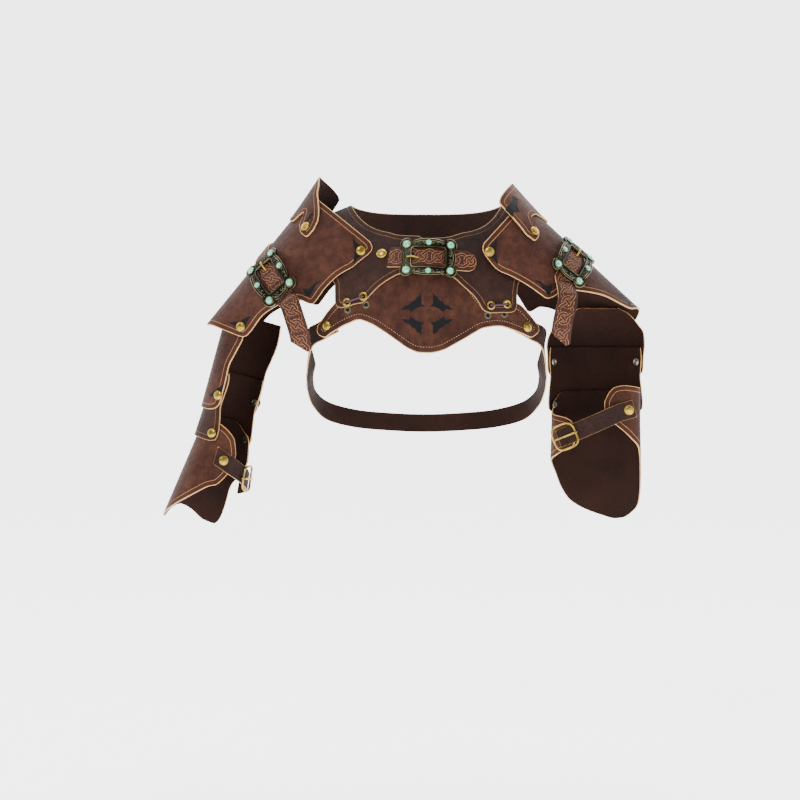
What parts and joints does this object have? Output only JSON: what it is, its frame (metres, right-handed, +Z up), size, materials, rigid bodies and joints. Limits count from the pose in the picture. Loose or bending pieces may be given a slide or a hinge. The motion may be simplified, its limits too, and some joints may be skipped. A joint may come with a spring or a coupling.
{
  "type": "steampunk leather vest harness with shoulder and arm guards",
  "caption": "Open leather shoulder harness: laced and buckled chest yoke, arched shoulder guards with stand-up neck pieces, layered arm plates and lobed elbow cuffs.",
  "frame": {"origin": "on the body's mid-line where the yoke rests on the wearer's shoulders, at the middle of the neck opening and level with the neck edge at the shoulder", "axes": "+X to the image's right across the shoulders, +Y from the chest to the back (the front faces -Y), +Z up"},
  "size_m": [0.6315, 0.2351, 0.4554],
  "materials": {
    "leather": "satin reddish-brown leather, cream raw edges",
    "strap_leather": "tooled strap leather, satin",
    "lace": "dark purple-brown round lace, matt",
    "brass": "polished, lightly worn",
    "bronze": "dark antiqued cast bronze"
  },
  "bodies": {
    "root": {"yoke": "leather", "chest_plate": "leather", "eyelet_1": "brass", "eyelet_2": "brass", "eyelet_3": "brass", "eyelet_4": "brass", "lace_left": "lace", "lace_right": "lace", "underarm_band": "leather", "centre_strap": "strap_leather", "upper_plate_left": "leather", "middle_plate_left": "leather", "elbow_cuff_left": "leather", "rivet_upper_left_1": "brass", "rivet_middle_left_1": "brass", "rivet_upper_left_2": "brass", "rivet_middle_left_2": "brass", "upper_plate_right": "leather", "middle_plate_right": "leather", "elbow_cuff_right": "leather", "rivet_upper_right_1": "brass", "rivet_middle_right_1": "brass", "rivet_upper_right_2": "brass", "rivet_middle_right_2": "brass", "centre_buckle": "bronze", "centre_prong": "brass", "neck_guard_left": "leather", "pauldron_left": "leather", "rivet_pauldron_left_1": "brass", "rivet_pauldron_left_3": "brass", "rivet_pauldron_left_2": "brass", "rivet_pauldron_left_4": "brass", "rivet_guard_left_1": "brass", "rivet_guard_left_2": "brass", "shoulder_strap_left": "strap_leather", "shoulder_buckle_left": "bronze", "shoulder_prong_left": "brass", "rivet_strap_left": "brass", "neck_guard_right": "leather", "pauldron_right": "leather", "rivet_pauldron_right_1": "brass", "rivet_pauldron_right_3": "brass", "rivet_pauldron_right_4": "brass", "rivet_guard_right_1": "brass", "rivet_guard_right_2": "brass", "shoulder_strap_right": "strap_leather", "shoulder_buckle_right": "bronze", "shoulder_prong_right": "brass", "rivet_strap_right": "brass", "rivet_yoke": "brass", "rivet_chest_left": "brass", "rivet_chest_right": "brass", "cuff_strap_left": "strap_leather", "cuff_buckle_left": "brass", "rivet_cuff_left": "brass", "cuff_strap_right": "strap_leather", "cuff_buckle_right": "brass", "rivet_cuff_right": "brass"}
  },
  "joints": []
}
